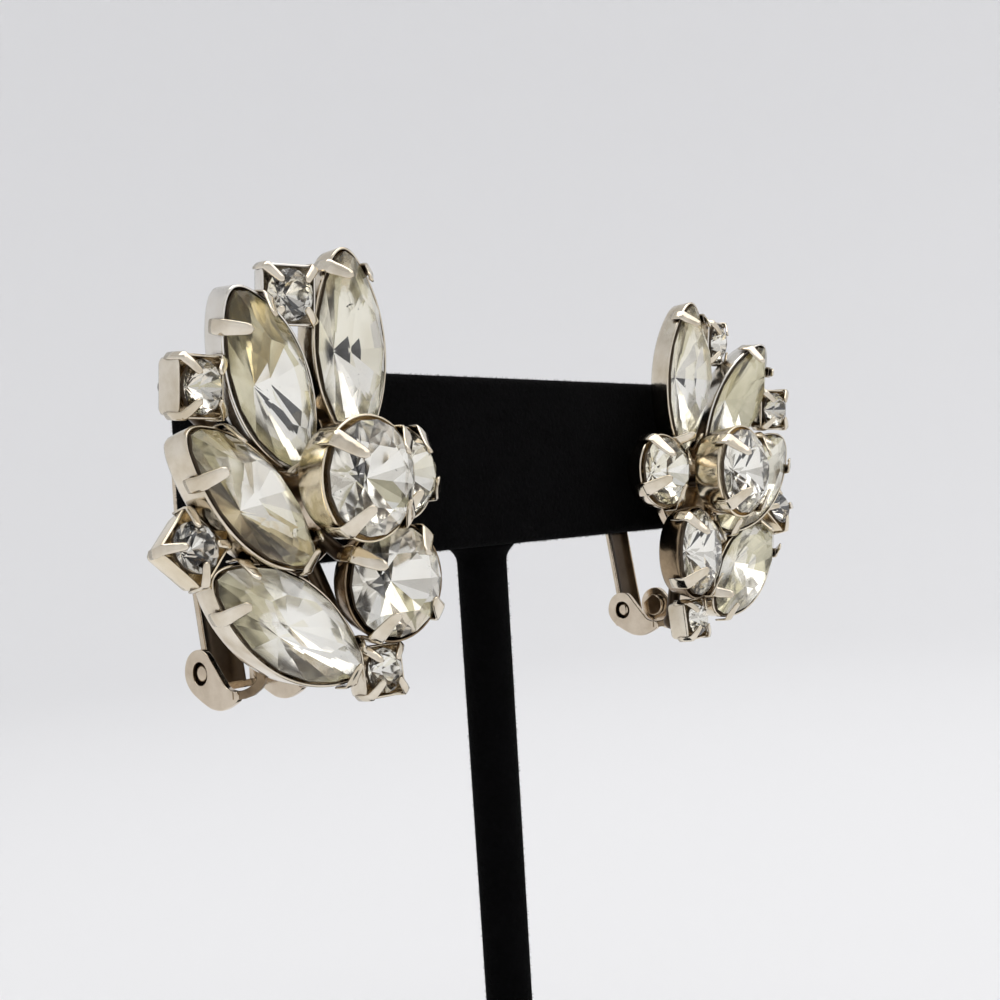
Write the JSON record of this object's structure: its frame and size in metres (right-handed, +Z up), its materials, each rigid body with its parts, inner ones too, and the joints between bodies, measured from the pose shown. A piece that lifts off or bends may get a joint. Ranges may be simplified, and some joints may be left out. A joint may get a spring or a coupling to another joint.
{
  "type": "clip-on earrings on display stand",
  "caption": "Pair of clip-on cluster earrings with clear foil-backed stones in prong cups and hinged paddle clips, worn on the ends of a small velvet T-bar stand.",
  "frame": {"origin": "middle of the stand base's underside, on the stem's axis, on the surface that the stand rests on", "axes": "+Z up, +X along the bar towards the right earring as seen from the front, -Y is the front, where the stones face"},
  "size_m": [0.0864, 0.04, 0.0889],
  "materials": {
    "velvet": "matte black velvet flock",
    "setting_metal": "aged rhodium plate, pale champagne, glossy with light tarnish",
    "clip_metal": "aged rhodium plate, pale champagne, lightly brushed",
    "clear_stone": "clear faceted glass with an aged mirror foil back"
  },
  "bodies": {
    "root": {"stand_base": "velvet", "stand_stem": "velvet", "stand_bar": "velvet", "left_setting": "setting_metal", "left_navette_1": "clear_stone", "left_navette_2": "clear_stone", "left_navette_3": "clear_stone", "left_navette_4": "clear_stone", "left_round_1": "clear_stone", "left_round_2": "clear_stone", "left_round_3": "clear_stone", "left_accent_1": "clear_stone", "left_accent_2": "clear_stone", "left_accent_3": "clear_stone", "left_accent_4": "clear_stone", "right_setting": "setting_metal", "right_navette_1": "clear_stone", "right_navette_2": "clear_stone", "right_navette_3": "clear_stone", "right_navette_4": "clear_stone", "right_round_1": "clear_stone", "right_round_2": "clear_stone", "right_round_3": "clear_stone", "right_accent_1": "clear_stone", "right_accent_2": "clear_stone", "right_accent_3": "clear_stone", "right_accent_4": "clear_stone"},
    "left_clip": {"left_paddle": "clip_metal"},
    "right_clip": {"right_paddle": "clip_metal"}
  },
  "joints": [
    {"name": "left_clip_hinge", "type": "hinge", "parent": "root", "child": "left_clip", "pos_m": [-0.0284, 0.0019, 0.0566], "axis": [-1, 0, 0], "range_deg": [0, 70], "stiffness_Nm_per_rad": 0.002, "springref_deg": -17.19},
    {"name": "right_clip_hinge", "type": "hinge", "parent": "root", "child": "right_clip", "pos_m": [0.0284, 0.0019, 0.0558], "axis": [-1, 0, 0], "range_deg": [0, 70], "stiffness_Nm_per_rad": 0.002, "springref_deg": -17.19}
  ]
}
